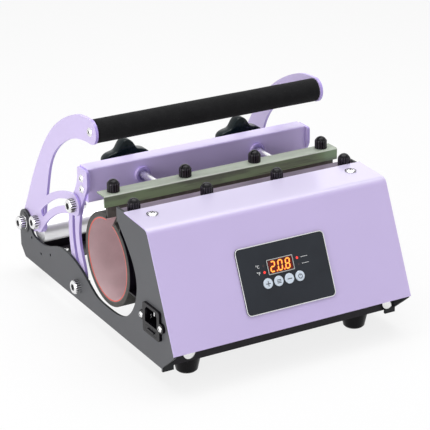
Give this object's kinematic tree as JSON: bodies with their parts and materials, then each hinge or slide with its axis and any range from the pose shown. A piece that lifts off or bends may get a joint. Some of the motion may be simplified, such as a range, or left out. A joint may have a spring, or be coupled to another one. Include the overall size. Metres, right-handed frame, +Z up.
{
  "type": "tumbler heat press",
  "caption": "Tumbler heat press: sloped control cover, clamshell heating band between side plates, slotted links and a hooked lever handle with a foam grip.",
  "frame": {"origin": "on the table under the middle of the machine's width and depth", "axes": "+X to the user's right along the grip, +Y from the control panel to the hinged rear, +Z up"},
  "size_m": [0.296, 0.367, 0.2327],
  "materials": {
    "lilac_paint": "satin powder coat",
    "grey_paint": "fine-textured powder coat",
    "black_paint": "satin powder coat",
    "green_coat": "satin",
    "steel": "zinc plated",
    "chrome": "polished",
    "black_plastic": "moulded",
    "panel_film": "printed overlay",
    "window_trim": "silver print",
    "display_red": "tinted",
    "button_white": "gloss",
    "led_red": "clear tinted",
    "board_green": "solder mask",
    "component_black": "moulded",
    "silicone": "smooth silicone",
    "felt": "needled felt",
    "foam": "soft closed-cell foam",
    "foot_rubber": "matt",
    "fuse_glass": "clear"
  },
  "bodies": {
    "frame": {"side_plate_left": "grey_paint", "side_plate_right": "grey_paint", "front_cover": "lilac_paint", "cover_brackets": "grey_paint", "cover_top_screws": "steel", "base_tray": "black_paint", "rear_tray": "black_paint", "rubber_feet": "foot_rubber", "foot_screws": "steel", "front_screws": "steel", "insulation_felt": "felt", "heating_mat": "silicone", "heater_cradle": "black_paint", "front_clamp_strip": "silicone", "front_cap_nuts": "black_plastic", "front_studs": "steel", "control_panel": "panel_film", "window_frame": "window_trim", "display_window": "display_red", "led_lenses": "led_red", "controller_board": "board_green", "display_module": "component_black", "board_posts": "steel", "board_components": "component_black", "inlet_housing": "black_plastic", "inlet_pins": "steel", "inlet_screws": "steel", "switch_housing": "black_plastic", "handle_pivot_bolts": "steel", "swing_pivot_bolts": "steel"},
    "handle": {"handle_arm_left": "lilac_paint", "handle_arm_right": "lilac_paint", "grip_tube": "steel", "foam_grip": "foam", "grip_end_screws": "lilac_paint", "cross_tube": "chrome", "crank_bolts": "steel"},
    "left_link": {"link_left": "lilac_paint"},
    "right_link": {"link_right": "lilac_paint"},
    "swing_frame": {"swing_arm_left": "lilac_paint", "swing_arm_right": "lilac_paint", "pressure_channel": "lilac_paint", "rod_bushes": "lilac_paint", "channel_screws": "steel", "slot_bolts": "steel"},
    "clamp_bar": {"clamp_angle": "green_coat", "mat_rear_hem": "silicone", "rear_studs": "steel", "rear_cap_nuts": "black_plastic"},
    "left_pressure_screw": {"pressure_rod_left": "steel", "star_knob_left": "black_plastic"},
    "right_pressure_screw": {"pressure_rod_right": "steel", "star_knob_right": "black_plastic"},
    "plus_button": {"button_plus": "button_white"},
    "set_button": {"button_set": "button_white"},
    "minus_button": {"button_minus": "button_white"},
    "mode_button": {"button_mode": "button_white"},
    "rocker": {"power_rocker": "black_plastic"},
    "fuse_holder": {"fuse_drawer": "black_plastic", "fuse": "fuse_glass"}
  },
  "joints": [
    {"name": "handle_hinge", "type": "hinge", "parent": "frame", "child": "handle", "pos_m": [0, 0.169, 0.0615], "axis": [-1, 0, 0], "range_deg": [0, 65]},
    {"name": "swing_hinge", "type": "hinge", "parent": "frame", "child": "swing_frame", "pos_m": [0, 0.0321, 0.0354], "axis": [-1, 0, 0], "range_deg": [0, 30]},
    {"name": "left_link_hinge", "type": "hinge", "parent": "handle", "child": "left_link", "pos_m": [-0.13775, 0.13363, 0.07396], "axis": [1, 0, 0], "range_deg": [0, 90]},
    {"name": "right_link_hinge", "type": "hinge", "parent": "handle", "child": "right_link", "pos_m": [0.13775, 0.13363, 0.07396], "axis": [1, 0, 0], "range_deg": [0, 90]},
    {"name": "clamp_slide", "type": "slide", "parent": "swing_frame", "child": "clamp_bar", "axis": [0, -1, 0], "range_m": [-0.00375, 0.00375]},
    {"name": "left_knob_turn", "type": "hinge", "parent": "clamp_bar", "child": "left_pressure_screw", "pos_m": [-0.07, 0.0515, 0.1565], "axis": [0, -1, 0], "range_deg": [-1085, 1085]},
    {"name": "right_knob_turn", "type": "hinge", "parent": "clamp_bar", "child": "right_pressure_screw", "pos_m": [0.07, 0.0515, 0.1565], "axis": [0, -1, 0], "range_deg": [-1085, 1085]},
    {"name": "plus_press", "type": "slide", "parent": "frame", "child": "plus_button", "axis": [0, 0.9107, -0.4131], "range_m": [0, 0.0006], "stiffness_N_per_m": 300},
    {"name": "set_press", "type": "slide", "parent": "frame", "child": "set_button", "axis": [0, 0.9107, -0.4131], "range_m": [0, 0.0006], "stiffness_N_per_m": 300},
    {"name": "minus_press", "type": "slide", "parent": "frame", "child": "minus_button", "axis": [0, 0.9107, -0.4131], "range_m": [0, 0.0006], "stiffness_N_per_m": 300},
    {"name": "mode_press", "type": "slide", "parent": "frame", "child": "mode_button", "axis": [0, 0.9107, -0.4131], "range_m": [0, 0.0006], "stiffness_N_per_m": 300},
    {"name": "rocker_tilt", "type": "hinge", "parent": "frame", "child": "rocker", "pos_m": [0.1365, -0.1375, 0.112], "axis": [0, 1, 0], "range_deg": [0, 20]},
    {"name": "fuse_slide", "type": "slide", "parent": "frame", "child": "fuse_holder", "axis": [-1, 0, 0], "range_m": [0, 0.014]}
  ],
  "couplings": [
    {"joint": "swing_hinge", "follows": "handle_hinge", "ratio": 0.4385},
    {"joint": "left_link_hinge", "follows": "handle_hinge", "ratio": 1.367},
    {"joint": "right_link_hinge", "follows": "handle_hinge", "ratio": 1.367},
    {"joint": "left_knob_turn", "follows": "clamp_slide", "rad_per_m": 5026.5},
    {"joint": "right_knob_turn", "follows": "clamp_slide", "rad_per_m": 5026.5}
  ]
}
